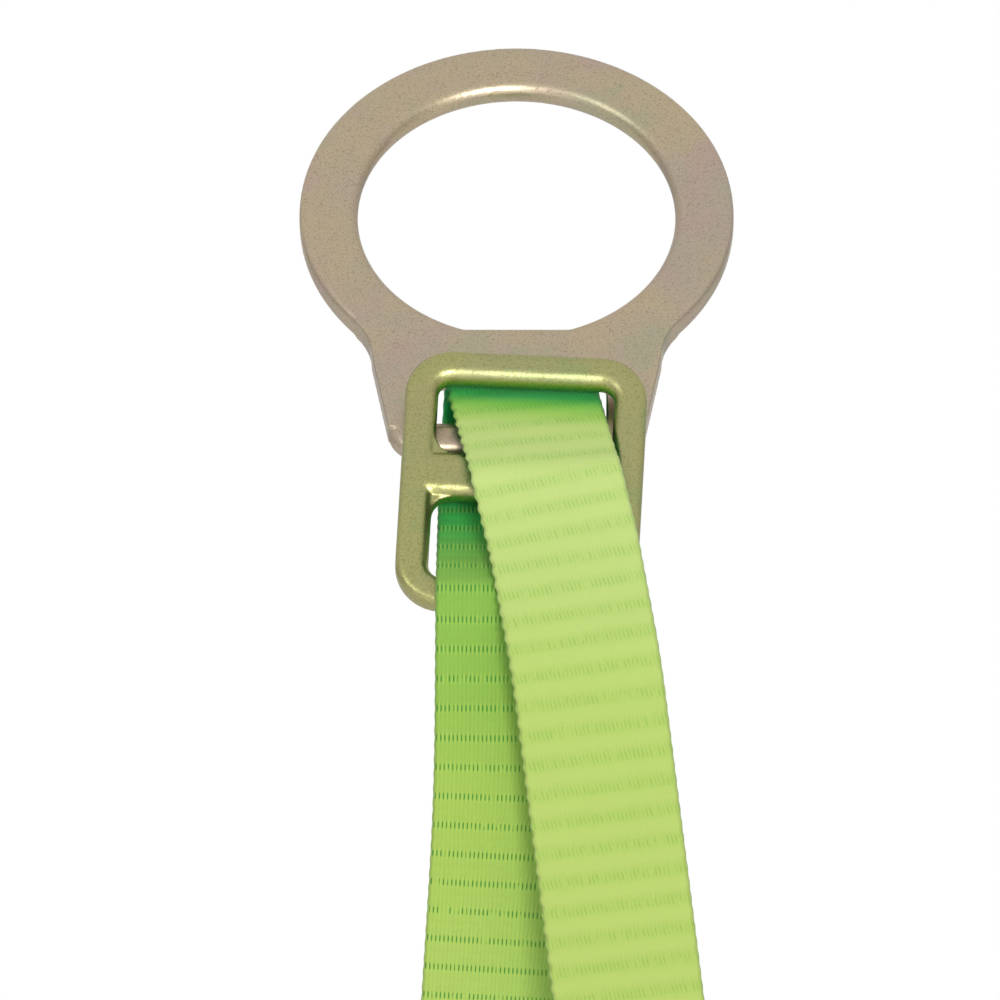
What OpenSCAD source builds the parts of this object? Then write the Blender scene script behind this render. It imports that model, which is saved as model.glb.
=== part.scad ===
// Adjustable flat web sling: a forged anchor ring, a forged three-bar slide and one
// length of woven web that is threaded through both and ends in a sewn eye.
// Origin: centre of the round eye of the ring. +Z up, +Y away from the front.

/* [Anchor ring] */
// Inside radius of the round eye
eye_r = 48; // [40:1:56]
// Radial width of the band round the eye
ring_band = 17.5; // [14:0.5:21]
// Thickness of the ring forging
ring_t = 8; // [7:0.5:9]
// How far the top of the ring leans away from the front
ring_tilt = 40; // [38:1:42]
// Height of the bar between the eye and the web slot
eye_bar_h = 21.5; // [16:0.5:22]
// Height of the bar that the web turns over
web_bar_h = 12; // [10:0.5:13]
// Clear space beside the web in the ring's slot
ring_slot_side = 4.5; // [4.5:0.5:8]
// Width of the metal beside the ring's slot, at the bottom of the tail
tail_rail = 11.5; // [10:0.5:18]

/* [Slide] */
// Clear space beside the web in the slide's slots
slide_slot_side = 4; // [4:0.5:10]
// Width of the slide's sides and of its two end bars
slide_band = 9.8; // [8:0.2:11]
// Height of the slide's middle bar
middle_bar_h = 15; // [13:0.5:17]
// Distance between the axes of the middle bar and the top bar
top_bar_rise = 36.4; // [36:0.2:44]
// Distance between the axes of the middle bar and the bottom bar
bottom_bar_drop = 39.4; // [39:0.2:46]
// Thickness of the slide forging
slide_t = 8; // [6:0.5:8.5]
// How far the top of the slide leans away from the front
slide_tilt = 27; // [26:0.5:28]
// How far the slide is turned in its own plane
slide_roll = 3; // [0:0.5:4]

/* [Web] */
// Width of the woven web
web_w = 45; // [30:1:46]
// Thickness of the woven web
web_t = 2.4; // [1.5:0.1:2.6]
// Clear gap between two sewn layers of web
layer_gap = 0.4; // [0.3:0.1:0.8]
// Length of the sewn lap above the lower eye
lap_l = 70; // [50:5:75]
// Wall of the wear sleeve round the lower eye
sleeve_t = 1.4; // [1:0.1:2]
// Gap between the wear sleeve and the web
sleeve_gap = 0.4; // [0.3:0.1:0.8]

/* [Stitching] */
// Length of one stitch
stitch_l = 4; // [3:0.5:5]
// Width of one stitch
thread_w = 1; // [0.6:0.1:1.4]
// How far a stitch stands out of the web
thread_proud = 0.5; // [0.3:0.1:0.8]

/* [Identification tag] */
// Width of the tag
tag_w = 36; // [20:1:40]
// Length of the tag
tag_l = 56; // [40:1:70]
// Thickness of the tag
tag_t = 0.8; // [0.6:0.1:1.2]

/* [Hidden] */
$fn = 64;

metal = "goldenrod";
thread = "darkolivegreen";

// Clearance between the slide and the foot of the ring, where it lies on it
rest_gap = 0.35;

// Anchor ring, in its own plane: X across, Y up the plate
ring_outer_r = eye_r + ring_band;
ring_edge_r = 2;
eye_flat_y = -eye_r + 2.7;
web_bar_y = -88.3;
web_slot_w = web_w + 2 * ring_slot_side;
web_slot_top = eye_flat_y - eye_bar_h;
web_slot_bottom = web_bar_y + web_bar_h / 2;
tail_bottom = web_bar_y - web_bar_h / 2;
tail_w = web_slot_w + 2 * tail_rail;
tail_top_w = tail_w + 10;
tail_corner_r = 9;
slot_corner_r = 5;
fillet_r = 20;

// Slide, in its own plane, with its origin on the axis of the middle bar
slot_w = web_w + 2 * slide_slot_side;
corner_inner_r = 4.5;
slide_edge_r = 2.5;
bar_fillet_r = 6;

// The slide lies in front of the ring: the foot of the tail is rest_gap behind its back face
tail_foot_y = tail_bottom + ring_t / 2;
tail_foot = [0, tail_foot_y * sin(ring_tilt), tail_foot_y * cos(ring_tilt)];
foot_gap = slide_t / 2 + ring_t / 2 + rest_gap;
middle_bar_drop = 10;
middle_bar_z = tail_foot[2] - middle_bar_drop;
middle_bar_depth = (foot_gap + middle_bar_drop * sin(slide_tilt)) / cos(slide_tilt);
middle_bar = [1.5, tail_foot[1] - middle_bar_depth, middle_bar_z];

// Route of the web's middle line: corner points, each with the radius of its bend.
// It starts at the folded tail, climbs in front of the slide, turns over the ring's
// web bar, passes behind and under the middle bar and hangs down to the lower eye.
tail_end = [41.2, -101, -296];
tail_fold_z = -332;
fold_x = 45.8;
tail_fold_y = tail_end[1] - web_t - layer_gap;
lap_top_bend = [-2.2, -97, -175];
throat = [-18, -22, -418];
lap_dir = (throat - lap_top_bend) / norm(throat - lap_top_bend);
lap_back = [0, -lap_dir[2], lap_dir[1]] / norm([0, -lap_dir[2], lap_dir[1]]);
throat_back = throat + (web_t + layer_gap) * lap_back;
fold_r = (web_t + layer_gap) / 2;
eye_x = -19.5;
eye_front = [eye_x, -48, -463];
eye_low_front = [eye_x, -44, -552];
eye_low_back = [eye_x, -2, -552];
eye_back = [eye_x, 4, -463];
eye_low_r = 20;
route = [
    [tail_end, 0], [[fold_x, tail_end[1], tail_fold_z], fold_r],
    [[fold_x, tail_fold_y, tail_fold_z], fold_r], [[20.7, -111, -134], 50],
    [[13.8, -94.5, -97], 40], [[8.4, -83.5, -75], 14], [[1, -48, -49.8], 6],
    [[0.4, -40.1, -57.5], 6], [[-1, -61, -82.4], 20], [[-1.8, -97.4, -111], 9],
    [lap_top_bend, 180], [throat, 28], [eye_front, 40], [eye_low_front, eye_low_r],
    [eye_low_back, eye_low_r], [eye_back, 40], [throat_back, 20],
    [throat_back - lap_l * lap_dir, 0],
];
sleeve_top_z = -492;

// Tag: it hangs plumb from a line of stitches across the front of the standing web
tag_z = -262;
tag_share = (tag_z - lap_top_bend[2]) / (throat[2] - lap_top_bend[2]);
tag_top = lap_top_bend + tag_share * (throat - lap_top_bend) - (web_t / 2 + 1.6) * lap_back;

// ---- Swept web ----

function unit(v) = v / norm(v);

// Points of the arc of radius r that rounds corner b between a and c
function bend(a, b, c, r, step = 18) =
    let (
        to_a = unit(a - b), to_c = unit(c - b),
        half = acos(to_a * to_c) / 2,
        centre = b + unit(to_a + to_c) * r / sin(half),
        start = unit(b + to_a * r / tan(half) - centre),
        stop = unit(b + to_c * r / tan(half) - centre),
        side = unit(stop - (stop * start) * start),
        turn = 180 - 2 * half,
        n = max(2, ceil(turn / step))
    )
    [for (i = [0:n]) centre + r * (cos(turn * i / n) * start + sin(turn * i / n) * side)];

function rounded_path(corners) =
    let (last = len(corners) - 1)
    [for (i = [0:last])
        let (p = corners[i][0], r = corners[i][1])
        for (q = r == 0 ? [p] : bend(corners[i - 1][0], p, corners[i + 1][0], r)) q];

// Flat section with chamfered edges, as [along the width, along the thickness]
function flat_section(w, t) =
    let (c = t / 3, x = w / 2, y = t / 2)
    [[x, y - c], [x - c, y], [c - x, y], [-x, y - c],
     [-x, c - y], [c - x, -y], [x - c, -y], [x, c - y]];

module swept_strap(path, w, t) {
    section = flat_section(w, t);
    sides = len(section);
    last = len(path) - 1;
    points = [for (i = [0:last])
        let (
            along = unit(path[min(i + 1, last)] - path[max(i - 1, 0)]),
            across = unit([1, 0, 0] - along[0] * along),
            out = cross(across, along)
        )
        for (s = section) path[i] + s[0] * across + s[1] * out];
    walls = [for (i = [0:last - 1], k = [0:sides - 1])
        let (a = i * sides + k, b = i * sides + (k + 1) % sides)
        for (face = [[a, b, a + sides], [b, b + sides, a + sides]]) face];
    start_cap = [for (k = [sides - 1:-1:0]) k];
    end_cap = [for (k = [0:sides - 1]) last * sides + k];
    polyhedron(points, concat(walls, [start_cap, end_cap]));
}

// ---- Forged parts ----

// Bar along X with both long edges fully round
module round_bar(length, height, thick) {
    cube([length, height - thick, thick], center = true);
    for (side = [-1, 1])
        translate([0, side * (height - thick) / 2, 0])
            rotate([0, 90, 0])
                cylinder(h = length, d = thick, center = true);
}

// Section with round edges, from inner to outer radius
module band_section(inner, outer, inner_edge_r, outer_edge_r, thick) {
    translate([inner + inner_edge_r, -thick / 2])
        square([outer - inner - inner_edge_r - outer_edge_r, thick]);
    for (side = [-1, 1]) {
        translate([inner + inner_edge_r, side * (thick / 2 - inner_edge_r)])
            circle(r = inner_edge_r);
        translate([outer - outer_edge_r, side * (thick / 2 - outer_edge_r)])
            circle(r = outer_edge_r);
    }
    translate([outer - 2 * outer_edge_r, outer_edge_r - thick / 2])
        square([2 * outer_edge_r, thick - 2 * outer_edge_r]);
}

// Plate region where the ring's outer circle runs into one side of the tail
module tail_fillet() {
    side_x = tail_top_w / 2;
    centre_x = side_x + fillet_r;
    centre_y = -sqrt(pow(ring_outer_r + fillet_r, 2) - pow(centre_x, 2));
    on_ring = [centre_x, centre_y] * ring_outer_r / (ring_outer_r + fillet_r);
    difference() {
        polygon([on_ring, [side_x, centre_y], [side_x - 20, centre_y],
                 [side_x - 20, on_ring[1]]]);
        translate([centre_x, centre_y]) circle(r = fillet_r, $fn = 96);
    }
}

module tail_outline() {
    top_y = -sqrt(pow(ring_outer_r + fillet_r, 2) - pow(tail_top_w / 2 + fillet_r, 2));
    corner_y = tail_bottom + tail_corner_r;
    polygon([[-tail_top_w / 2, top_y], [tail_top_w / 2, top_y], [tail_w / 2, corner_y],
             [-tail_w / 2, corner_y]]);
    polygon([[-tail_top_w / 2, top_y], [tail_top_w / 2, top_y],
             [tail_top_w / 2 - 12, eye_flat_y], [12 - tail_top_w / 2, eye_flat_y]]);
    for (side = [0, 1]) mirror([side, 0]) tail_fillet();
}

// Lower right corner of the tail: a quarter disc with a round edge
module tail_corner() {
    half = ring_t / 2;
    translate([tail_w / 2 - tail_corner_r, tail_bottom + tail_corner_r, 0])
        rotate([0, 0, -90])
            rotate_extrude(angle = 90) {
                translate([tail_corner_r - half, 0]) circle(r = half);
                translate([0, -half]) square([tail_corner_r - half, ring_t]);
            }
}

module slot_outline(w, top, bottom, corner_r) {
    for (side = [-1, 1], y = [top - corner_r, bottom + corner_r])
        translate([side * (w / 2 - corner_r), y]) circle(r = corner_r);
    translate([-w / 2, bottom + corner_r]) square([w, top - bottom - 2 * corner_r]);
    translate([corner_r - w / 2, bottom]) square([w - 2 * corner_r, top - bottom]);
}

module ring_forging() {
    half = ring_t / 2;
    difference() {
        union() {
            rotate_extrude($fn = 128)
                band_section(eye_r, ring_outer_r, half, ring_edge_r, ring_t);
            difference() {
                translate([0, 0, -half]) linear_extrude(ring_t) tail_outline();
                cylinder(r = eye_r + half, h = 2 * ring_t, center = true, $fn = 128);
            }
            for (side = [0, 1]) mirror([side, 0, 0]) tail_corner();
        }
        translate([0, 0, -ring_t])
            linear_extrude(2 * ring_t)
                slot_outline(web_slot_w, web_slot_top + half, web_slot_bottom - half,
                             slot_corner_r);
    }
    translate([0, (eye_flat_y + web_slot_top) / 2, 0])
        round_bar(web_slot_w + 4, eye_bar_h, ring_t);
    translate([0, web_bar_y, 0])
        round_bar(tail_w - 2 * tail_corner_r, web_bar_h, ring_t);
}

module anchor_ring() {
    color(metal)
        rotate([90 - ring_tilt, 0, 0]) ring_forging();
}

// Section of the slide's frame, round on the side of the slots, from inner to outer
module frame_section(inner) {
    band_section(inner, inner + slide_band, slide_t / 2, slide_edge_r, slide_t);
}

// Straight stretch of the frame along Y, with its inner edge at X = inner
module frame_side(inner, low_y, high_y) {
    translate([0, high_y, 0])
        rotate([90, 0, 0])
            linear_extrude(high_y - low_y) frame_section(inner);
}

module slide_forging() {
    corner_x = slot_w / 2 - corner_inner_r;
    top_y = top_bar_rise - slide_band / 2 - corner_inner_r;
    low_y = corner_inner_r + slide_band / 2 - bottom_bar_drop;
    for (side = [0, 1]) mirror([side, 0, 0]) {
        translate([corner_x, top_y, 0])
            rotate_extrude(angle = 90) frame_section(corner_inner_r);
        translate([corner_x, low_y, 0])
            rotate([0, 0, -90]) rotate_extrude(angle = 90) frame_section(corner_inner_r);
        frame_side(slot_w / 2, low_y, top_y);
        for (up = [-1, 1])
            translate([slot_w / 2, up * middle_bar_h / 2, 0])
                bar_fillet(up);
    }
    rotate([0, 0, 90]) frame_side(top_bar_rise - slide_band / 2, -corner_x, corner_x);
    rotate([0, 0, -90]) frame_side(bottom_bar_drop - slide_band / 2, -corner_x, corner_x);
    round_bar(slot_w + slide_band, middle_bar_h, slide_t);
}

// Fillet between the middle bar and one side of the slide
module bar_fillet(up) {
    sink = slide_t / 2;
    thick = slide_t / 2;
    difference() {
        translate([-bar_fillet_r, up < 0 ? -bar_fillet_r : -sink, -thick / 2])
            cube([bar_fillet_r + sink, bar_fillet_r + sink, thick]);
        translate([-bar_fillet_r, up * bar_fillet_r, 0])
            cylinder(r = bar_fillet_r, h = slide_t, center = true);
    }
}

module three_bar_slide() {
    color(metal)
        translate(middle_bar)
            rotate([90 - slide_tilt, 0, 0])
                rotate([0, 0, -slide_roll]) slide_forging();
}

// ---- Soft parts ----

module sling_web() {
    color("yellowgreen")
        swept_strap(rounded_path(route), web_w, web_t);
}

function at_height(a, b, z) = a + (b - a) * (z - a[2]) / (b[2] - a[2]);

// Route of the sleeve round the foot of the eye; extra lengthens it at both ends
function sleeve_route(extra) = rounded_path([
    [at_height(eye_front, eye_low_front, sleeve_top_z + extra), 0],
    [eye_low_front, eye_low_r], [eye_low_back, eye_low_r],
    [at_height(eye_back, eye_low_back, sleeve_top_z + extra), 0],
]);

module eye_wear_sleeve() {
    bore_w = web_w + 2 * sleeve_gap;
    bore_t = web_t + 2 * sleeve_gap;
    color("dimgray") difference() {
        swept_strap(sleeve_route(0), bore_w + 2 * sleeve_t, bore_t + 2 * sleeve_t);
        swept_strap(sleeve_route(2), bore_w, bore_t);
    }
}

// Puts its children on a straight stretch of web: X across, Y up the web, Z out of its front
module on_web(low, high) {
    rise = high - low;
    flat_rise = norm([rise[1], rise[2]]);
    translate(low)
        rotate([atan2(rise[2], rise[1]), 0, 0])
            rotate([0, 0, -atan2(rise[0], flat_rise)]) children();
}

// Rows of stitches on both faces of two sewn layers, stack thick in all
module stitch_rows(columns, rows, width, length, stack) {
    sink = web_t / 6;
    for (c = [0:columns - 1], r = [0:rows - 1], face = [-1, 1])
        translate([width * (c / (columns - 1) - 0.5), length * (r + 0.5) / rows,
                   face * (stack / 2 + (thread_proud - sink) / 2)])
            cube([thread_w, stitch_l, thread_proud + sink], center = true);
}

module eye_stitching() {
    middle = (throat + throat_back) / 2;
    stack = 2 * web_t + layer_gap;
    color(thread)
        on_web(middle, middle - lap_l * lap_dir)
            translate([0, 5, 0]) stitch_rows(6, 9, web_w - 12, lap_l - 12, stack);
}

module tail_stitching() {
    half_layer = (web_t + layer_gap) / 2;
    low = [fold_x, tail_fold_y + half_layer, tail_fold_z];
    high = [tail_end[0], tail_end[1] - half_layer, tail_end[2]];
    stack = 2 * web_t + layer_gap;
    color(thread)
        on_web(low, high)
            translate([0, 6, 0]) stitch_rows(5, 4, web_w - 14, 26, stack);
}

module identification_tag() {
    color("whitesmoke")
        translate(tag_top + [-tag_w / 2, -tag_t / 2, -tag_l])
            cube([tag_w, tag_t, tag_l]);
}

module tag_stitching() {
    count = 6;
    color(thread)
        for (i = [0:count - 1])
            translate(tag_top + [(tag_w - 8) * (i / (count - 1) - 0.5), -tag_t / 2, -4])
                cube([stitch_l, 2 * thread_proud, thread_w], center = true);
}

anchor_ring();
three_bar_slide();
sling_web();
eye_wear_sleeve();
eye_stitching();
tail_stitching();
identification_tag();
tag_stitching();
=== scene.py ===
import math

import bpy
import numpy as np
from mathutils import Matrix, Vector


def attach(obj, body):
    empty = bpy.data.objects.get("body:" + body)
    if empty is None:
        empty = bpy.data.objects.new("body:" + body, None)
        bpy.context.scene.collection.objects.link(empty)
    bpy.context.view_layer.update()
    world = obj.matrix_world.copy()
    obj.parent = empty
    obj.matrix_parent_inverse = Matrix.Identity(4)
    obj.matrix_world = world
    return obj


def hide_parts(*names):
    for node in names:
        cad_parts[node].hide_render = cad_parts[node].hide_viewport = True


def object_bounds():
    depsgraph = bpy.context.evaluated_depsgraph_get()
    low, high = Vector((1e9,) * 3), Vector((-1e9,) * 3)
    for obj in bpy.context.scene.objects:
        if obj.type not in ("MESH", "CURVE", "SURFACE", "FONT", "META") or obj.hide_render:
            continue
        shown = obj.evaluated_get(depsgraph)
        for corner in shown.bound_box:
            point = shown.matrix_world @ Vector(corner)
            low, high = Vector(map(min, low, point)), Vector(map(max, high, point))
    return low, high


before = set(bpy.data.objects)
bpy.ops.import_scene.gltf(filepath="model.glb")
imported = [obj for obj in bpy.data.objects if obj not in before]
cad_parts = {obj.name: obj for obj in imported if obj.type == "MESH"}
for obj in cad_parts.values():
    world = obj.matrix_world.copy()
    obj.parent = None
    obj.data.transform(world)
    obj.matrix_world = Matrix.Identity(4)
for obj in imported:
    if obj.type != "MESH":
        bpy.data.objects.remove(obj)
CAD_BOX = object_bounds()

MM = 0.001
WEB_W = 45 * MM
WEB_T = 2.4 * MM
LAYER_GAP = 0.4 * MM
LAP_L = 70 * MM
RIB_PITCH = 8.9 * MM
WARP_PITCH = 1.25 * MM
TAG_W = 36 * MM
TAG_L = 56 * MM
STITCH_L = 4 * MM
TAU = 2 * math.pi


# ---- Camera ----

def aim_camera(centre, distance, width):
    """A long lens level with the object, looking along +Y, with width metres across its view."""
    data = bpy.data.cameras.new("camera")
    data.sensor_width = 36
    data.lens = data.sensor_width * distance / width
    camera = bpy.data.objects.new("camera", data)
    camera.location = (centre[0], centre[1] - distance, centre[2])
    camera.rotation_euler = (math.radians(90), 0, 0)
    bpy.context.scene.collection.objects.link(camera)
    bpy.context.scene.camera = camera


aim_camera(centre=(-0.005, -0.07, -0.085), distance=10.0, width=0.3)


# ---- Route of the web: the corner points and bends of part.scad, in metres ----

def vec(x, y, z):
    return np.array([x, y, z], float) * MM


def unit(v):
    return v / np.linalg.norm(v)


TAIL_END = vec(41.2, -101, -296)
FOLD_X, FOLD_Z = 45.8 * MM, -332 * MM
FOLD_Y = TAIL_END[1] - WEB_T - LAYER_GAP
LAP_TOP_BEND = vec(-2.2, -97, -175)
THROAT = vec(-18, -22, -418)
LAP_DIR = unit(THROAT - LAP_TOP_BEND)
LAP_BACK = unit(np.array([0, -LAP_DIR[2], LAP_DIR[1]]))
THROAT_BACK = THROAT + (WEB_T + LAYER_GAP) * LAP_BACK
FOLD_R = (WEB_T + LAYER_GAP) / 2
EYE_FRONT = vec(-19.5, -48, -463)
EYE_LOW_FRONT = vec(-19.5, -44, -552)
EYE_LOW_BACK = vec(-19.5, -2, -552)
EYE_BACK = vec(-19.5, 4, -463)
EYE_LOW_R = 20 * MM
SLEEVE_TOP_Z = -492 * MM
SLEEVE_T = 1.4 * MM
SLEEVE_GAP = 0.4 * MM
LOOP_TOP = vec(0.7, -44, -53)
OVER_SLIDE = vec(13.8, -94.5, -97)
UNDER_SLIDE = vec(-1.8, -96, -112)
ROUTE = [
    (TAIL_END, 0),
    (np.array([FOLD_X, TAIL_END[1], FOLD_Z]), FOLD_R),
    (np.array([FOLD_X, FOLD_Y, FOLD_Z]), FOLD_R),
    (vec(20.7, -111, -134), 50 * MM),
    (OVER_SLIDE, 40 * MM),
    (vec(8.4, -83.5, -75), 14 * MM),
    (vec(1, -48, -49.8), 6 * MM),
    (vec(0.4, -40.1, -57.5), 6 * MM),
    (vec(-1, -61, -82.4), 20 * MM),
    (vec(-1.8, -97.4, -111), 9 * MM),
    (LAP_TOP_BEND, 180 * MM),
    (THROAT, 28 * MM),
    (EYE_FRONT, 40 * MM),
    (EYE_LOW_FRONT, EYE_LOW_R),
    (EYE_LOW_BACK, EYE_LOW_R),
    (EYE_BACK, 40 * MM),
    (THROAT_BACK, 20 * MM),
    (THROAT_BACK - LAP_L * LAP_DIR, 0),
]


def bend(a, b, c, r, step=math.radians(3)):
    """Points of the arc of radius r that rounds corner b between a and c."""
    to_a, to_c = unit(a - b), unit(c - b)
    half = math.acos(np.clip(to_a @ to_c, -1, 1)) / 2
    centre = b + unit(to_a + to_c) * r / math.sin(half)
    start = unit(b + to_a * r / math.tan(half) - centre)
    stop = unit(b + to_c * r / math.tan(half) - centre)
    side = unit(stop - (stop @ start) * start)
    turn = math.pi - 2 * half
    angles = np.linspace(0, turn, max(3, math.ceil(turn / step)))
    return [centre + r * (math.cos(t) * start + math.sin(t) * side) for t in angles]


def rounded(corners):
    points = []
    for i, (p, r) in enumerate(corners):
        points += bend(corners[i - 1][0], p, corners[i + 1][0], r) if r > 0 else [p]
    return np.array(points)


def even_steps(points, step):
    """The same line with points step apart, or a little less."""
    along = np.r_[0, np.cumsum(np.linalg.norm(np.diff(points, axis=0), axis=1))]
    s = np.linspace(0, along[-1], math.ceil(along[-1] / step) + 1)
    return np.stack([np.interp(s, along, points[:, k]) for k in range(3)], 1), s


def frames(path):
    """Directions along, across and out of a flat strap at each point of its path."""
    along = np.gradient(path, axis=0)
    along /= np.linalg.norm(along, axis=1)[:, None]
    across = np.array([1.0, 0, 0]) - along[:, :1] * along
    across /= np.linalg.norm(across, axis=1)[:, None]
    return along, across, np.cross(across, along)


# ---- Meshes ----

def new_object(name, verts, faces, smooth=True):
    mesh = bpy.data.meshes.new(name)
    mesh.from_pydata([tuple(v) for v in verts], [], faces)
    mesh.validate()
    mesh.polygons.foreach_set("use_smooth", [smooth] * len(mesh.polygons))
    obj = bpy.data.objects.new(name, mesh)
    bpy.context.scene.collection.objects.link(obj)
    return obj


def add_attribute(obj, name, values):
    attribute = obj.data.attributes.new(name, "FLOAT_VECTOR", "POINT")
    attribute.data.foreach_set("vector", np.ascontiguousarray(values, np.float32).ravel())


def grid_faces(rows, columns):
    """Quads of a tube of rows rings with columns points each, with a cap at both ends."""
    r, c = np.meshgrid(np.arange(rows - 1), np.arange(columns), indexing="ij")
    a = r * columns + c
    b = r * columns + (c + 1) % columns
    quads = np.stack([a, b, b + columns, a + columns], -1).reshape(-1, 4).tolist()
    half = columns // 2
    for row, flip in ((0, True), (rows - 1, False)):
        base = row * columns
        for k in range(half):
            cap = [base + k, base + k + 1, base + (columns - k - 1) % columns,
                   base + (columns - k) % columns]
            cap = list(dict.fromkeys(cap))
            if len(cap) > 2:
                quads.append(cap[::-1] if flip else cap)
    return quads


def wave(x):
    """A ridge once per unit of x, from 0 in the valley to 1 on top."""
    return 0.5 + 0.5 * np.cos(TAU * x)


class Strap:
    """The woven web as rings of points along its path, with both faces' relief."""

    STEP = 0.7 * MM
    COLUMNS = 62

    def __init__(self, corners):
        self.path, self.s = even_steps(rounded(corners), self.STEP)
        self.along, self.across, self.out = frames(self.path)
        x = np.linspace(-1, 1, self.COLUMNS + 1) * WEB_W / 2
        self.x = np.r_[x, x[-2:0:-1]]
        self.face = np.r_[np.ones(len(x)), -np.ones(len(x) - 2)]
        self.face[[0, len(x) - 1]] = 0
        self.build()

    def build(self):
        s, x = self.s[:, None], self.x[None, :]
        face = self.face[None, :]
        edge = np.clip((WEB_W / 2 - np.abs(x)) / (1.5 * MM), 0, 1)
        body = np.sqrt(1 - (1 - edge) ** 2) * WEB_T * 0.46
        ribs = wave(s / RIB_PITCH)
        warp = wave(x / WARP_PITCH)
        soft_face = 0.07 * MM * (ribs - 0.5) + 0.04 * MM * warp
        groove = np.exp(-(((s / RIB_PITCH + 0.25) % 1 - 0.5) * RIB_PITCH / (0.75 * MM)) ** 2)
        pitted_face = 0.08 * MM - 0.20 * MM * groove + 0.04 * MM * warp
        relief = np.where(face > 0, soft_face, pitted_face) * edge
        lift = face * (body + relief)
        near_edge = (np.abs(x) / (WEB_W / 2)) ** 6
        slack = np.where((x < 0) & (s < self.s[self.row_at(LOOP_TOP)]), 0.024, 0.007)
        scallop = 1 + slack * (wave(2 * s / RIB_PITCH) - 0.5) * near_edge
        rows = len(self.s)
        self.points = (self.path[:, None, :]
                       + (x * scallop)[..., None] * self.across[:, None, :]
                       + lift[..., None] * self.out[:, None, :])
        shape = (rows, len(self.x))
        self.weave = np.stack([np.broadcast_to(x, shape), np.broadcast_to(s, shape),
                               np.broadcast_to(face, shape)], -1)

    def normals(self):
        """A smooth normal for every point of the whole strap, so that its pieces meet unseen."""
        p = self.points
        ahead = np.gradient(p, axis=0)
        aside = np.roll(p, -1, axis=1) - np.roll(p, 1, axis=1)
        n = np.cross(aside, ahead)
        return n / np.maximum(np.linalg.norm(n, axis=-1), 1e-12)[..., None]

    def row_at(self, corner, after=0.0):
        near = np.linalg.norm(self.path - corner, axis=1).argmin()
        return int(near + round(after / self.STEP))

    def piece(self, name, first, last):
        rows = slice(first, last + 1)
        verts = self.points[rows].reshape(-1, 3)
        count = last - first + 1
        obj = new_object(name, verts, grid_faces(count, len(self.x)))
        add_attribute(obj, "weave", self.weave[rows].reshape(-1, 3))
        obj.data.normals_split_custom_set_from_vertices(
            self.normals()[rows].reshape(-1, 3).tolist())
        return obj

    def length(self, first, last):
        return float(self.s[last] - self.s[first])


strap = Strap(ROUTE)
over_slide = strap.row_at(OVER_SLIDE)
under_slide = strap.row_at(UNDER_SLIDE, after=5 * MM)
last_row = len(strap.s) - 1

web_tail = strap.piece("web_tail", 0, over_slide)
web_threaded = strap.piece("web_threaded", over_slide, under_slide)
web_standing = strap.piece("web_standing", under_slide, last_row)


# ---- Materials ----

class Nodes:
    """Short names for building the node tree of a material or of the world."""

    def __init__(self, owner):
        self.owner = owner
        owner.use_nodes = True
        self.tree = owner.node_tree
        self.shader = self.tree.nodes.get("Principled BSDF")

    def put(self, socket, value):
        if isinstance(value, bpy.types.NodeSocket):
            self.tree.links.new(value, socket)
        elif value is not None:
            socket.default_value = value

    def set(self, **inputs):
        for name, value in inputs.items():
            self.put(self.shader.inputs[name.replace("_", " ")], value)

    def new(self, kind, **settings):
        node = self.tree.nodes.new(kind)
        for key, value in settings.items():
            setattr(node, key, value)
        return node

    def math(self, operation, a, b=None, clamp=False):
        node = self.new("ShaderNodeMath", operation=operation, use_clamp=clamp)
        self.put(node.inputs[0], a)
        self.put(node.inputs[1], b)
        return node.outputs[0]

    def mix(self, factor, a, b, blend="MIX"):
        node = self.new("ShaderNodeMix", data_type="RGBA", blend_type=blend)
        self.put(node.inputs["Factor"], factor)
        self.put(node.inputs[6], a)
        self.put(node.inputs[7], b)
        return node.outputs[2]

    def noise(self, scale, detail=2.0, vector=None, roughness=0.5):
        node = self.new("ShaderNodeTexNoise")
        node.inputs["Scale"].default_value = scale
        node.inputs["Detail"].default_value = detail
        node.inputs["Roughness"].default_value = roughness
        if vector is None:
            vector = self.new("ShaderNodeTexCoord").outputs["Object"]
        self.put(node.inputs["Vector"], vector)
        return node.outputs["Fac"]

    def step(self, value, low, high):
        """0 below low, 1 above high, smooth between; low may be the larger."""
        node = self.new("ShaderNodeMapRange", interpolation_type="SMOOTHSTEP")
        self.put(node.inputs["Value"], value)
        flip = low > high
        node.inputs["From Min"].default_value = min(low, high)
        node.inputs["From Max"].default_value = max(low, high)
        node.inputs["To Min"].default_value = 1.0 if flip else 0.0
        node.inputs["To Max"].default_value = 0.0 if flip else 1.0
        return node.outputs["Result"]

    def ramp(self, value, stops):
        """The colour at value between stops, each a place along value and its colour."""
        first, last = stops[0][0], stops[-1][0]
        share = self.new("ShaderNodeMapRange")
        self.put(share.inputs["Value"], value)
        share.inputs["From Min"].default_value = first
        share.inputs["From Max"].default_value = last
        node = self.new("ShaderNodeValToRGB")
        self.put(node.inputs["Fac"], share.outputs["Result"])
        marks = node.color_ramp.elements
        for place, colour in stops[1:-1]:
            marks.new((place - first) / (last - first)).color = colour
        marks[0].color = stops[0][1]
        marks[len(marks) - 1].color = stops[-1][1]
        return node.outputs["Color"]

    def bump(self, height, distance, strength=1.0, normal=None):
        node = self.new("ShaderNodeBump")
        node.inputs["Strength"].default_value = strength
        node.inputs["Distance"].default_value = distance
        self.put(node.inputs["Height"], height)
        self.put(node.inputs["Normal"], normal)
        return node.outputs["Normal"]

    def combine(self, x, y, z):
        node = self.new("ShaderNodeCombineXYZ")
        for socket, value in zip(node.inputs, (x, y, z)):
            self.put(socket, value)
        return node.outputs[0]


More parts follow.
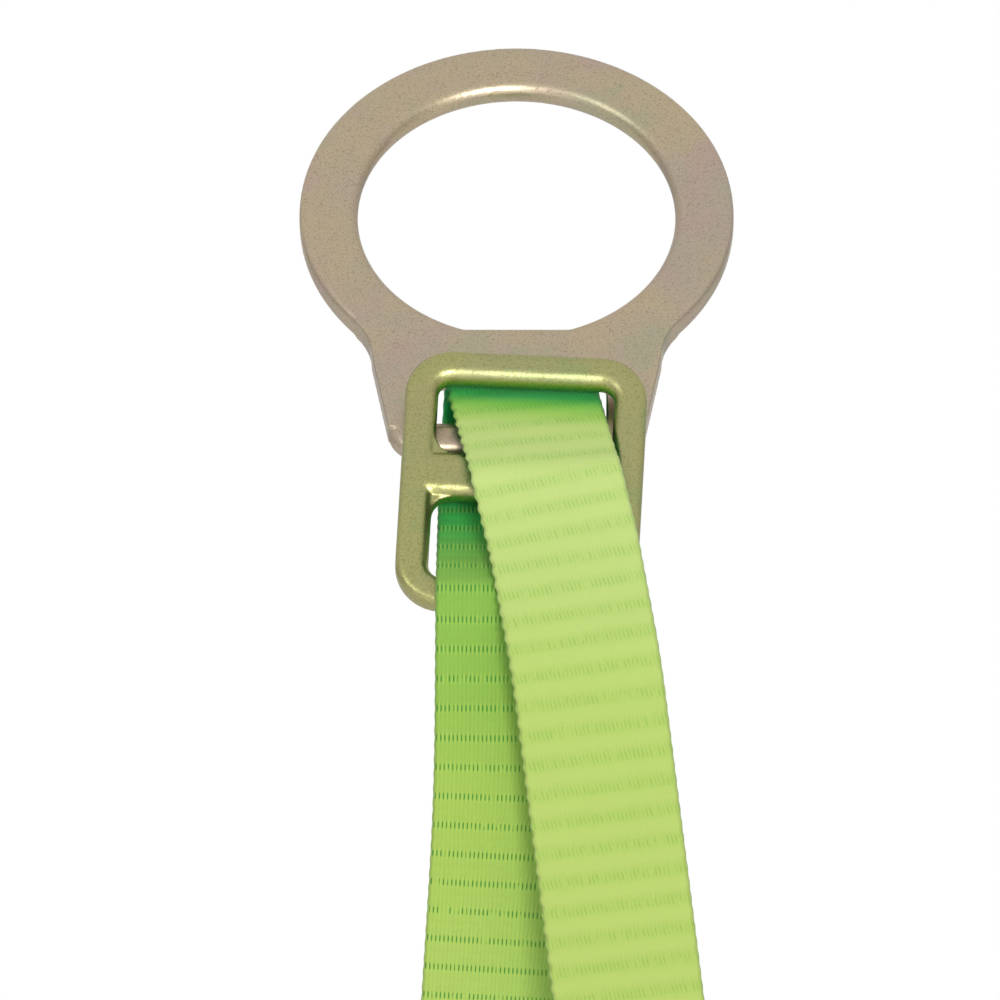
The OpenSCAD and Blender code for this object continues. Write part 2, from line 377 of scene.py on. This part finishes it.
def rgb(r, g, b):
    """An sRGB colour of 0 to 255 as the linear colour that a shader takes."""
    linear = [((v / 255 + 0.055) / 1.055) ** 2.4 if v > 10 else v / 255 / 12.92 for v in (r, g, b)]
    return (*linear, 1.0)


def ridge(n, value, pitch, phase=0.0):
    """1 on ridges that repeat every pitch along value, 0 between them."""
    turn = n.math("MULTIPLY", value, TAU / pitch)
    swing = n.math("COSINE", n.math("ADD", turn, phase * TAU))
    return n.math("ADD", n.math("MULTIPLY", swing, 0.5), 0.5)


def along_strap(*stops):
    """Colours at points of the route, as stops of a ramp over the distance along the strap."""
    return [(float(strap.s[strap.row_at(place)]), rgb(*colour)) for place, colour in stops]


def web_material():
    n = Nodes(bpy.data.materials.new("web"))
    split = n.new("ShaderNodeSeparateXYZ")
    n.put(split.inputs[0], n.new("ShaderNodeAttribute", attribute_name="weave").outputs["Vector"])
    x, s, face = split.outputs
    soft_side = n.step(face, -0.2, 0.2)
    grain = n.noise(900, 2, n.combine(x, n.math("MULTIPLY", s, 0.35), face))
    patch = n.noise(45, 3, n.combine(x, s, face))
    yarn = n.noise(700, 1, n.combine(n.math("MULTIPLY", x, 1.3), n.math("MULTIPLY", s, 0.2), 0.3))
    wobble = n.math("MULTIPLY", n.math("SUBTRACT", grain, 0.5), 0.0010)
    s_wobbly = n.math("ADD", s, wobble)
    ribs = ridge(n, s_wobbly, RIB_PITCH)
    slant = n.math("ADD", x, n.math("MULTIPLY", s, 0.16))
    warp = ridge(n, slant, WARP_PITCH)
    straight_warp = ridge(n, x, WARP_PITCH)

    # Outer face: pale bands with slanted dashes between the warps in the valleys. Painted shade:
    # the ramp along the strap turns the web deep green where it curves up under the slide's top
    # bar, on a line slanted like that bar's shadow; it is also a little darker down the tail.
    level = n.math("ADD", s, n.math("MULTIPLY", x, 0.25))
    outer = n.ramp(level, along_strap(
        (vec(33, -107, -232), (172, 194, 100)), (vec(22, -111, -145), (172, 196, 103)),
        (vec(9.6, -85, -79), (186, 208, 124)), (vec(5.5, -68, -64), (184, 207, 120)),
        (vec(4.2, -62, -60), (158, 200, 92)), (vec(3.4, -58.6, -57.3), (120, 190, 76)),
        (vec(2.5, -55, -54.7), (52, 168, 82)), (vec(1.4, -50, -52), (36, 156, 74)),
        (vec(0.6, -42, -53), (60, 160, 70)), (vec(0, -52, -71), (150, 196, 90)),
    ))
    # Painted shade: the rib valleys and the dashes between the warps are darkened and greened, as
    # shade in the weave's hollows.
    outer = n.mix(n.step(ribs, 0.9, 0.1), outer, (0.93, 0.97, 0.90, 1), "MULTIPLY")
    dash_here = n.math("MULTIPLY", n.step(ribs, 0.34, 0.04), n.step(warp, 0.46, 0.10))
    dash = n.math("MULTIPLY", dash_here, n.step(yarn, 0.30, 0.60))
    outer = n.mix(n.math("MULTIPLY", dash, 0.55), outer, (0.62, 0.84, 0.50, 1), "MULTIPLY")

    # Inner face: flat bands, each closed by a row of deep pits between the warps
    # Painted shade: this ramp makes the inner face deep green where it comes back out of the loop
    # behind the slide and lighter down the standing part. Before the loop it keeps its first deep
    # green, so the tail's inner face is painted shade all along.
    inner = n.ramp(s, along_strap(
        (vec(-1, -60, -81), (34, 186, 98)), (vec(-1.2, -68, -88), (46, 178, 83)),
        (vec(-1.4, -76, -94), (62, 168, 72)), (vec(-1.6, -87, -103), (109, 167, 68)),
        (vec(-1.8, -97, -116), (134, 178, 74)), (vec(-2, -97, -145), (142, 181, 75)),
        (vec(-2.2, -97, -175), (160, 189, 84)), (vec(-6, -79, -232), (169, 196, 94)),
    ))
    row = ridge(n, s, RIB_PITCH, phase=0.25)
    row_band = n.step(row, 0.80, 0.98)
    between = n.step(straight_warp, 0.42, 0.06)
    pit = n.math("MULTIPLY", n.math("MULTIPLY", row_band, between), n.step(yarn, 0.28, 0.46))
    crest_highlight = n.math("MULTIPLY", n.step(row, 0.55, 0.95), n.step(straight_warp, 0.55, 0.95))
    # Painted shade and highlight: darker and greener between the warps and in the pits, lighter on
    # the warp tops beside them.
    inner = n.mix(n.math("MULTIPLY", between, 0.28), inner, (0.66, 0.86, 0.62, 1), "MULTIPLY")
    inner = n.mix(n.math("MULTIPLY", crest_highlight, 0.40), inner, rgb(170, 206, 88))
    inner = n.mix(n.math("MULTIPLY", pit, 0.85), inner, rgb(38, 128, 44))

    colour = n.mix(soft_side, inner, outer)
    bright = n.math("MULTIPLY", n.step(patch, 0.35, 0.7), 0.10)
    colour = n.mix(bright, colour, (1.12, 1.08, 1.10, 1), "MULTIPLY")
    n.put(n.shader.inputs["Base Color"], colour)
    relief = n.math("ADD", n.math("MULTIPLY", warp, 0.35), n.math("MULTIPLY", grain, 0.5))
    relief = n.math("SUBTRACT", relief, n.math("MULTIPLY", n.math("ADD", pit, dash), 0.8))
    n.set(Roughness=0.75, Normal=n.bump(relief, 0.00014, 0.7))
    n.set(Sheen_Weight=0.12, Sheen_Roughness=0.5, Specular_IOR_Level=0.2)
    return n.owner


def plated_metal(name, grain_depth, grain_scale, tone):
    """Zinc plate with a yellow chromate bloom, over a forged and blasted skin; tone darkens it."""
    n = Nodes(bpy.data.materials.new(name))
    cloud = n.noise(26, 4, roughness=0.6)
    tint = n.noise(60, 3)
    speck = n.noise(1900, 2)
    grit = n.noise(grain_scale, 3, roughness=0.7)
    skin = n.mix(n.step(cloud, 0.35, 0.65), rgb(222, 208, 166), rgb(212, 202, 174))
    skin = n.mix(n.math("MULTIPLY", n.step(tint, 0.52, 0.70), 0.55), skin, rgb(222, 196, 176))
    skin = n.mix(n.math("MULTIPLY", n.step(tint, 0.46, 0.32), 0.50), skin, rgb(198, 206, 164))
    skin = n.mix(n.math("MULTIPLY", n.step(speck, 0.52, 0.70), 0.60), skin, rgb(166, 148, 112))
    skin = n.mix(n.math("MULTIPLY", n.step(grit, 0.47, 0.30), 0.45), skin, rgb(170, 154, 120))
    n.put(n.shader.inputs["Base Color"], n.mix(1.0, skin, (*tone, 1), "MULTIPLY"))
    rough = n.math("ADD", n.math("MULTIPLY", cloud, 0.14), 0.28)
    n.set(Metallic=1.0, Roughness=rough, Normal=n.bump(grit, grain_depth, 0.8))
    return n.owner


def fabric(name, base, shade, rib, depth):
    """Cloth with fine ribs across two directions, rib apart, and a little uneven dye."""
    n = Nodes(bpy.data.materials.new(name))
    split = n.new("ShaderNodeSeparateXYZ")
    n.put(split.inputs[0], n.new("ShaderNodeTexCoord").outputs["Object"])
    x, y, z = split.outputs
    down = n.math("ADD", y, z)
    cross = n.math("MULTIPLY", ridge(n, x, rib), ridge(n, down, rib * 1.3))
    dye = n.noise(120, 3)
    colour = n.mix(n.step(dye, 0.3, 0.7), base, shade)
    colour = n.mix(n.math("MULTIPLY", cross, 0.35), colour, (1.5, 1.5, 1.5, 1), "MULTIPLY")
    n.put(n.shader.inputs["Base Color"], colour)
    n.set(Roughness=0.8, Sheen_Weight=0.2, Normal=n.bump(cross, depth, 0.8))
    return n.owner


WEB = web_material()
RING_METAL = plated_metal("ring_metal", 0.00005, 1700, tone=(0.87, 0.83, 0.92))
SLIDE_METAL = plated_metal("slide_metal", 0.00010, 1100, tone=(0.68, 0.77, 0.52))
SLEEVE = fabric("sleeve", rgb(58, 62, 64), rgb(42, 45, 48), 1.1 * MM, 0.0002)
THREAD = fabric("thread", rgb(70, 112, 48), rgb(52, 90, 36), 0.3 * MM, 0.00004)
TAG = fabric("tag", rgb(226, 226, 220), rgb(212, 212, 204), 0.5 * MM, 0.00006)


def show(obj, body, node, material):
    """Puts a finished piece in place of its CAD node, riding on its body."""
    obj.data.materials.clear()
    obj.data.materials.append(material)
    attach(obj, body)
    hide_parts(node)


for web_piece in (web_tail, web_threaded, web_standing):
    show(web_piece, "web", "sling_web", WEB)


# ---- Forgings: the CAD shapes with every edge softened, as a drop forging has ----

def soften(node, name, voxel, passes):
    """A copy of a CAD node with rounder edges; a slight push out makes up for the smoothing."""
    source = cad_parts[node]
    obj = bpy.data.objects.new(name, source.data.copy())
    bpy.context.scene.collection.objects.link(obj)
    remesh = obj.modifiers.new("remesh", "REMESH")
    remesh.mode = "VOXEL"
    remesh.voxel_size = voxel
    smooth = obj.modifiers.new("smooth", "SMOOTH")
    smooth.factor = 0.5
    smooth.iterations = passes
    push = obj.modifiers.new("push", "DISPLACE")
    push.mid_level = 0
    push.strength = 0.1 * MM
    depsgraph = bpy.context.evaluated_depsgraph_get()
    mesh = bpy.data.meshes.new_from_object(obj.evaluated_get(depsgraph))
    obj.modifiers.clear()
    obj.data = mesh
    mesh.polygons.foreach_set("use_smooth", [True] * len(mesh.polygons))
    return obj


show(soften("anchor_ring", "ring_forging", 0.55 * MM, 8), "ring", "anchor_ring",
     RING_METAL)
show(soften("three_bar_slide", "slide_forging", 0.5 * MM, 12), "slide", "three_bar_slide",
     SLIDE_METAL)


# ---- Wear sleeve: a flat woven tube with a folded hem at each end ----

def stadium(width, thick, count):
    """count points round a flat section with round ends, as (across, out) pairs."""
    turn = np.linspace(-math.pi / 2, math.pi / 2, 9)
    flat = (width - thick) / 2
    right = np.stack([flat + thick / 2 * np.cos(turn), thick / 2 * np.sin(turn)], 1)
    loop = np.concatenate([right, -right, right[:1]])
    at = np.r_[0, np.cumsum(np.linalg.norm(np.diff(loop, axis=0), axis=1))]
    t = np.linspace(0, at[-1], count, endpoint=False)
    return np.stack([np.interp(t, at, loop[:, k]) for k in (0, 1)], 1)


def at_height(a, b, z):
    return a + (b - a) * (z - a[2]) / (b[2] - a[2])


def wear_sleeve():
    columns = 120
    hem_t, hem_l, hem_slope = 0.45 * MM, 6 * MM, 0.8 * MM
    lip_t, lip_l = 0.5 * MM, 0.7 * MM
    rib_t, rib_pitch = 0.16 * MM, 2.2 * MM
    path, s = even_steps(rounded([
        (at_height(EYE_FRONT, EYE_LOW_FRONT, SLEEVE_TOP_Z), 0),
        (EYE_LOW_FRONT, EYE_LOW_R),
        (EYE_LOW_BACK, EYE_LOW_R),
        (at_height(EYE_BACK, EYE_LOW_BACK, SLEEVE_TOP_Z), 0),
    ]), 0.5 * MM)
    _, across, out = frames(path)
    to_end = np.minimum(s, s[-1] - s)
    hem = hem_t * np.clip((hem_l - to_end) / hem_slope, 0, 1)
    lip = lip_t * np.clip(1 - to_end / lip_l, 0, 1) ** 2
    ribs = rib_t * wave(s / rib_pitch)
    walls = []
    for gap, grow in ((SLEEVE_GAP, 0 * s + lip), (SLEEVE_GAP + SLEEVE_T, hem + ribs - lip)):
        ring = stadium(WEB_W + 2 * gap, WEB_T + 2 * gap, columns)
        away = ring - np.c_[np.clip(ring[:, 0], -WEB_W / 2, WEB_W / 2), 0 * ring[:, 1]]
        away /= np.linalg.norm(away, axis=1)[:, None]
        flat = ring[None] + grow[:, None, None] * away[None]
        walls.append(path[:, None] + flat[..., :1] * across[:, None] + flat[..., 1:] * out[:, None])
    points = np.concatenate([walls[1], walls[0][::-1]])
    rows = len(points)
    r, c = np.meshgrid(np.arange(rows), np.arange(columns), indexing="ij")
    ahead, beside = (r + 1) % rows * columns, (c + 1) % columns
    quads = np.stack([r * columns + c, r * columns + beside, ahead + beside, ahead + c], -1)
    return new_object("woven_sleeve", points.reshape(-1, 3), quads.reshape(-1, 4).tolist())


show(wear_sleeve(), "web", "eye_wear_sleeve", SLEEVE)


# ---- Stitches: two twisted plies that arch out of the web and dive back in ----

def stitches(name, places):
    """One object of stitches, each given as its middle, its direction and the way it stands out."""
    rings, sides = 11, 6
    thread_r, ply_r, arch, turns = 0.27 * MM, 0.22 * MM, 0.55 * MM, 2.5
    t = np.linspace(0, 1, rings)[:, None, None]
    round_ply = (np.arange(sides) * TAU / sides)[None, :, None]
    tube = grid_faces(rings, sides)
    verts, faces = [], []
    for middle, direction, lift in places:
        side = np.cross(direction, lift)
        line = middle + (t - 0.5) * STITCH_L * direction
        line = line + (arch * np.sin(math.pi * t) ** 0.5 - 0.35 * MM) * lift
        for ply in (0, math.pi):
            twist = TAU * turns * t + ply
            centre = line + ply_r * (np.cos(twist) * side + np.sin(twist) * lift)
            ring = centre + thread_r * (np.cos(round_ply) * side + np.sin(round_ply) * lift)
            first = len(verts) * rings * sides
            faces += [[first + corner for corner in face] for face in tube]
            verts.append(ring.reshape(-1, 3))
    return new_object(name, np.concatenate(verts), faces)


def stitch_block(low, high, columns, rows, width, length, start):
    """Places of rows of stitches on both faces of two sewn layers, from low towards high."""
    up = unit(high - low)
    lift = unit(np.array([0, -up[2], up[1]]))
    aside = np.cross(up, lift)
    surface = WEB_T + LAYER_GAP / 2
    for c in range(columns):
        for r in range(rows):
            place = (low + (start + length * (r + 0.5) / rows) * up
                     + width * (c / (columns - 1) - 0.5) * aside)
            yield place + surface * lift, up, lift
            yield place - surface * lift, up, -lift


lap_middle = (THROAT + THROAT_BACK) / 2
show(stitches("eye_seam", stitch_block(
    lap_middle, lap_middle - LAP_L * LAP_DIR, 6, 9, WEB_W - 12 * MM, LAP_L - 12 * MM, 5 * MM)),
    "web", "eye_stitching", THREAD)

half_layer = np.array([0, FOLD_R, 0])
fold_low = np.array([FOLD_X, FOLD_Y, FOLD_Z]) + half_layer
show(stitches("tail_seam", stitch_block(
    fold_low, TAIL_END - half_layer, 5, 4, WEB_W - 14 * MM, 26 * MM, 6 * MM)),
    "web", "tail_stitching", THREAD)


# ---- Identification tag: a blank label with a folded hem, curling a little ----

TAG_TOP = (at_height(LAP_TOP_BEND, THROAT, -262 * MM)
           - (WEB_T / 2 + 1.6 * MM) * LAP_BACK)


def label():
    columns, rows = 48, 92
    half_t, thin_edge = 0.24 * MM, 0.35 * MM
    hem_w, hem_slope, hem_extra = 3 * MM, 0.4 * MM, 0.14 * MM
    curl_depth, sway_depth = 1.6 * MM, 0.25 * MM
    x = np.linspace(-1, 1, columns + 1) * TAG_W / 2
    x = np.r_[x, x[-2:0:-1]]
    face = np.r_[-np.ones(columns + 1), np.ones(columns - 1)]
    down = np.linspace(0, TAG_L, rows)[:, None]
    to_edge = np.minimum(TAG_W / 2 - np.abs(x)[None], np.minimum(down, TAG_L - down))
    hem = np.clip((hem_w - to_edge) / hem_slope, 0, 1)
    thin = np.clip(to_edge / thin_edge, 0, 1) ** 0.5
    half = (half_t + hem_extra * hem) * (0.15 + 0.85 * thin)
    share = down / TAG_L
    curl = curl_depth * share ** 2 * (0.3 + (x[None] / TAG_W * 2) ** 2) * 0.8
    sway = sway_depth * np.sin(5 * share + 90 * x[None])
    depth = face[None] * half - curl + sway * share
    points = TAG_TOP + np.stack([np.broadcast_to(x, depth.shape), depth,
                                 np.broadcast_to(-down, depth.shape)], -1)
    faces = [f[::-1] for f in grid_faces(rows, len(x))]
    return new_object("label", points.reshape(-1, 3), faces)


def label_stitches():
    """Places of the row of stitches across the top of the label."""
    front = np.array([0.0, -1, 0])
    for k in range(6):
        place = TAG_TOP + np.array([(TAG_W - 8 * MM) * (k / 5 - 0.5), -0.4 * MM, -4 * MM])
        yield place, np.array([1.0, 0, 0]), front


show(label(), "tag", "identification_tag", TAG)
show(stitches("label_seam", label_stitches()), "tag", "tag_stitching", THREAD)


# ---- Studio ----

def studio():
    """A plain pale floor, soft light from above and a white backdrop beyond the object."""
    low, half = CAD_BOX[0][2] - 0.003, 3.0
    light_below, light_gain = 0.30, 0.42
    corners = [(-half, -half, low), (half, -half, low), (half, half, low), (-half, half, low)]
    floor = new_object("floor", corners, [(0, 1, 2, 3)])
    paint = Nodes(bpy.data.materials.new("floor"))
    paint.set(Base_Color=(0.86, 0.86, 0.86, 1), Roughness=0.9)
    floor.data.materials.append(paint.owner)

    sky = Nodes(bpy.data.worlds.new("world"))
    split = sky.new("ShaderNodeSeparateXYZ")
    sky.put(split.inputs[0], sky.new("ShaderNodeTexCoord").outputs["Generated"])
    _, y, z = split.outputs
    rise = sky.math("MULTIPLY", sky.step(z, -0.5, 0.7), light_gain)
    soft = sky.math("ADD", rise, light_below)
    backdrop = sky.step(y, 0.90, 0.97)
    background = sky.tree.nodes["Background"]
    background.inputs["Color"].default_value = (1, 1, 1, 1)
    sky.put(background.inputs["Strength"], sky.math("MAXIMUM", soft, backdrop))
    bpy.context.scene.world = sky.owner
    bpy.context.scene.view_settings.view_transform = "Standard"


def area_light(name, place, target, size, power):
    data = bpy.data.lights.new(name, "AREA")
    data.size = size
    data.energy = power
    light = bpy.data.objects.new(name, data)
    light.location = place
    direction = Vector(target) - Vector(place)
    light.rotation_euler = direction.to_track_quat("-Z", "Y").to_euler()
    bpy.context.scene.collection.objects.link(light)


studio()
area_light("key", (0.5, -2.6, 0.1), (0, -0.05, -0.1), 0.7, 30)
area_light("fill", (-1.4, -1.8, 0.6), (0, -0.05, -0.1), 1.0, 6)
